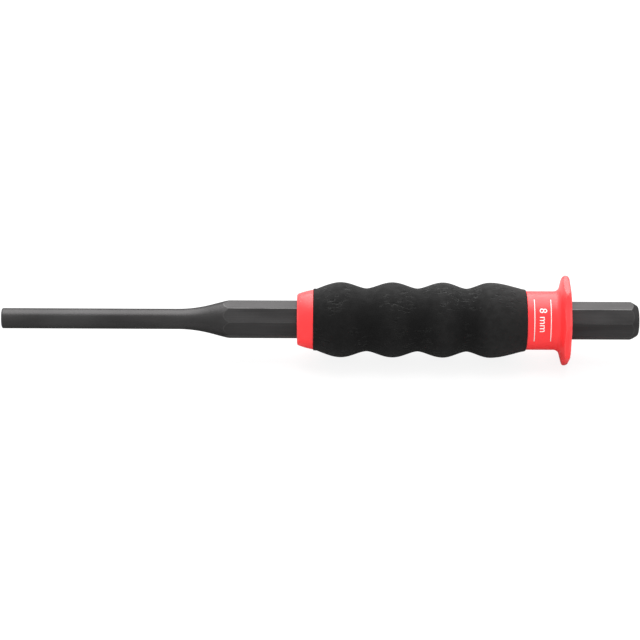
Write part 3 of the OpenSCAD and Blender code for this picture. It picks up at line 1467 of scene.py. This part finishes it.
@dataclass
class SizeMark:
    """White print on the rear collar: the pin's size in millimetres between two thin lines."""

    tool: Tool
    finish: InkFinish
    collar_radius: float
    place: float = 5.9 * MM
    angle: float = math.radians(57.3)
    letter_size: float = 4.2 * MM
    line_length: float = 18 * MM
    line_width: float = 0.3 * MM
    line_gap: float = 6.4 * MM
    line_steps: int = 40
    sunk: float = 0.02 * MM
    proud: float = 0.02 * MM

    def _sizes(self) -> dict[str, float]:
        """Named inputs of the mark's tree, by name."""
        return {
            "Letter Size": self.letter_size,
            "Line Length": self.line_length,
            "Line Width": self.line_width,
            "Line Gap": self.line_gap,
            "Collar Radius": self.collar_radius - self.sunk,
            "Thickness": self.sunk + self.proud,
            "Place": self.tool.rear_collar + self.place,
            "Angle": self.angle,
            "Axis Height": self.tool.axis,
        }

    def _lines(self, nodes: NodePiece) -> list[Socket]:
        """Two flat strips, one on each side of the number.

        Args:
            nodes: The mark's tree.

        Returns:
            The strips.
        """
        strips = []
        for side in (-0.5, 0.5):
            strip = nodes.board.output(
                "GeometryNodeMeshGrid",
                Size_X=nodes.number("Line Length"),
                Size_Y=nodes.number("Line Width"),
                Vertices_X=self.line_steps,
                Vertices_Y=2,
            )
            aside = nodes.board.vector(0.0, nodes.number("Line Gap") * side, 0.0)
            strips.append(nodes.moved(strip, Offset=aside))
        return strips

    def _mesh(self, material: bpy.types.Material) -> bpy.types.Mesh:
        """Draws the mark flat, gives it thickness and wraps it round the collar.

        Args:
            material: Its finish.

        Returns:
            The mesh.
        """
        nodes = NodePiece("size_mark")
        nodes.take("NodeSocketFloat", self._sizes())
        nodes.take("NodeSocketString", {"Text": f"{2 * self.tool.pin_radius / MM:.0f} mm"})
        nodes.take("NodeSocketMaterial", {"Material": material})
        board = nodes.board
        text = board.output(
            "GeometryNodeStringToCurves",
            {"align_x": "CENTER", "align_y": "MIDDLE"},
            String=nodes.given["Text"],
            Size=nodes.number("Letter Size"),
        )
        curves = board.output("GeometryNodeRealizeInstances", Geometry=text)
        letters = board.output("GeometryNodeFillCurve", Curve=curves)
        flat = nodes.joined(letters, *self._lines(nodes))
        under = board.output("GeometryNodeFlipFaces", Mesh=flat)
        raised = board.output(
            "GeometryNodeExtrudeMesh",
            Mesh=flat,
            Offset=board.vector(0.0, 0.0, 1.0),
            Offset_Scale=nodes.number("Thickness"),
            Individual=False,
        )
        solid = nodes.welded(nodes.joined(under, raised))
        along, up, height = board.split(board.output("GeometryNodeInputPosition"))
        radius = nodes.number("Collar Radius")
        angle, reach = nodes.number("Angle") + along / radius, radius + height
        place = board.vector(
            nodes.number("Place") + up,
            angle.sin() * reach * -1.0,
            nodes.number("Axis Height") + angle.cos() * reach,
        )
        return nodes.finish(nodes.moved(solid, Position=place))

    def build(self) -> bpy.types.Object:
        """Builds the mark and dresses it.

        Returns:
            The object.
        """
        material = self.finish.material()
        piece = Piece("size_mark", self._mesh(material), material)
        return piece.settle(Body.GUARD, None)


@dataclass
class Studio:
    """White floor and surroundings, one large soft box overhead and behind, and the camera."""

    tool: Tool
    floor_size: float = 6.0
    floor_grey: float = 0.6
    floor_white: float = 0.86
    floor_shadow: float = 0.14
    floor_gloss: float = 0.4
    ambient: float = 0.98
    box_angle: float = math.radians(30)
    box_distance: float = 0.9
    box_size: tuple[float, float] = (0.85, 1.4)
    box_power: float = 21.0
    view_elevation: float = math.radians(32.7)
    view_distance: float = 0.967
    view_width: float = 251.6 * MM
    view_roll: float = math.radians(0.25)
    view_drop: float = 0.18 * MM
    sensor: float = 36.0

    @property
    def _middle(self) -> Vector:
        """The point on the tool's axis that the light and the camera face."""
        return Vector((0.0, 0.0, self.tool.axis))

    @staticmethod
    def _rays(board: Board) -> tuple[Field, Field]:
        """1 for rays from the camera, and 1 for rays from gloss or through glass.

        Args:
            board: Nodes of the floor or the surroundings.

        Returns:
            The two numbers, which are 0 for other rays.
        """
        path = board.add("ShaderNodeLightPath").outputs
        mirrored = Field(board, path["Is Glossy Ray"]).larger(Field(board, path["Is Transmission Ray"]))
        return Field(board, path["Is Camera Ray"]), mirrored

    @staticmethod
    def _matt(board: Board, grey: float) -> Socket:
        """A matt grey shader."""
        return board.output("ShaderNodeBsdfDiffuse", Color=(grey, grey, grey, 1.0))

    @staticmethod
    def _mixed(board: Board, share: Field, low: Socket, high: Socket) -> Socket:
        """A shader between two, by a share."""
        return board.add("ShaderNodeMixShader", inputs={0: share, 1: low, 2: high}).outputs[0]

    def _floor(self) -> bpy.types.Object:
        """A pale floor that is white where it is seen and keeps a faint shadow.

        Returns:
            The floor.
        """
        half = self.floor_size / 2
        mesh = bpy.data.meshes.new("floor")
        corners = [(-half, -half, 0), (half, -half, 0), (half, half, 0), (-half, half, 0)]
        mesh.from_pydata(corners, [], [(0, 1, 2, 3)])
        material = bpy.data.materials.new("floor")
        material.use_nodes = True
        board = Board(material.node_tree)
        surface = material.node_tree.nodes["Material Output"].inputs["Surface"]
        material.node_tree.nodes.remove(material.node_tree.nodes["Principled BSDF"])
        camera, mirrored = self._rays(board)
        grey, glossy = self._matt(board, self.floor_grey), self._matt(board, self.floor_gloss)
        shaded = self._matt(board, self.floor_shadow)
        white = board.output("ShaderNodeEmission", Strength=self.floor_white)
        pale = board.add("ShaderNodeAddShader", inputs={0: shaded, 1: white}).outputs[0]
        unseen = self._mixed(board, mirrored, grey, glossy)
        board.plug(surface, self._mixed(board, camera, unseen, pale))
        mesh.materials.append(material)
        floor = bpy.data.objects.new("floor", mesh)
        bpy.context.scene.collection.objects.link(floor)
        return floor

    def _world(self) -> None:
        """Surroundings that are white where they are seen, and a plain soft light otherwise."""
        world = bpy.data.worlds.new("studio")
        world.use_nodes = True
        bpy.context.scene.world = world
        board = Board(world.node_tree)
        background = world.node_tree.nodes["Background"]
        camera, mirrored = self._rays(board)
        seen = camera.larger(mirrored)
        board.plug(background.inputs["Strength"], self.ambient + seen * (1.0 - self.ambient))
        background.inputs["Color"].default_value = (1.0, 1.0, 1.0, 1.0)

    def _soft_box(self) -> None:
        """One large soft box over the tool, tilted from behind."""
        light = bpy.data.lights.new("soft_box", "AREA")
        light.shape = "RECTANGLE"
        light.size, light.size_y = self.box_size
        light.energy = self.box_power
        box = bpy.data.objects.new("soft_box", light)
        back = Vector((0.0, math.sin(self.box_angle), math.cos(self.box_angle)))
        box.location = self._middle + self.box_distance * back
        box.rotation_mode = "QUATERNION"
        box.rotation_quaternion = back.to_track_quat("Z", "Y")
        box.visible_camera = False
        bpy.context.scene.collection.objects.link(box)

    def _camera(self) -> None:
        """Camera at the photograph's angle, square to the tool's length."""
        camera = bpy.data.cameras.new("camera")
        camera.sensor_width = self.sensor
        camera.lens = self.sensor * self.view_distance / self.view_width
        view = bpy.data.objects.new("camera", camera)
        back = Vector((0.0, -math.cos(self.view_elevation), math.sin(self.view_elevation)))
        up = Vector((0.0, math.sin(self.view_elevation), math.cos(self.view_elevation)))
        roll = Quaternion((0.0, 0.0, 1.0), self.view_roll)
        view.location = self._middle + self.view_distance * back - self.view_drop * up
        view.rotation_mode = "QUATERNION"
        view.rotation_quaternion = back.to_track_quat("Z", "Y") @ roll
        bpy.context.scene.collection.objects.link(view)
        bpy.context.scene.camera = view

    def build(self) -> None:
        """Builds the floor, the light and the camera."""
        bpy.context.scene.view_settings.view_transform = "Standard"
        self._floor()
        self._world()
        self._soft_box()
        self._camera()
        LOG.info("studio: floor, soft box and camera")


def main() -> None:
    """Builds the shared effects, every piece and the studio, in that order."""
    logging.basicConfig(level=logging.INFO, format="%(name)s %(message)s")
    tool = Tool.read()
    Effects().build()
    steel = SteelFinish("phosphated_steel", (0.0465, 0.0453, 0.0456), roughness=0.38, specular=0.0)
    red = MouldingFinish("red_moulding", (0.97, 0.036, 0.040), roughness=0.38, specular=0.33)
    foam = FoamFinish("black_foam", (0.0079, 0.0078, 0.0077), roughness=0.85, specular=0.1)
    ink = InkFinish("white_ink", (0.88, 0.87, 0.85), roughness=0.5, specular=0.4)
    guard = Guard(tool, red)
    Punch(tool, steel).build()
    guard.build()
    FoamGrip(tool, foam).build()
    SizeMark(tool, ink, guard.rear_collar_radius).build()
    Studio(tool).build()


if __name__ == "__main__":
    main()
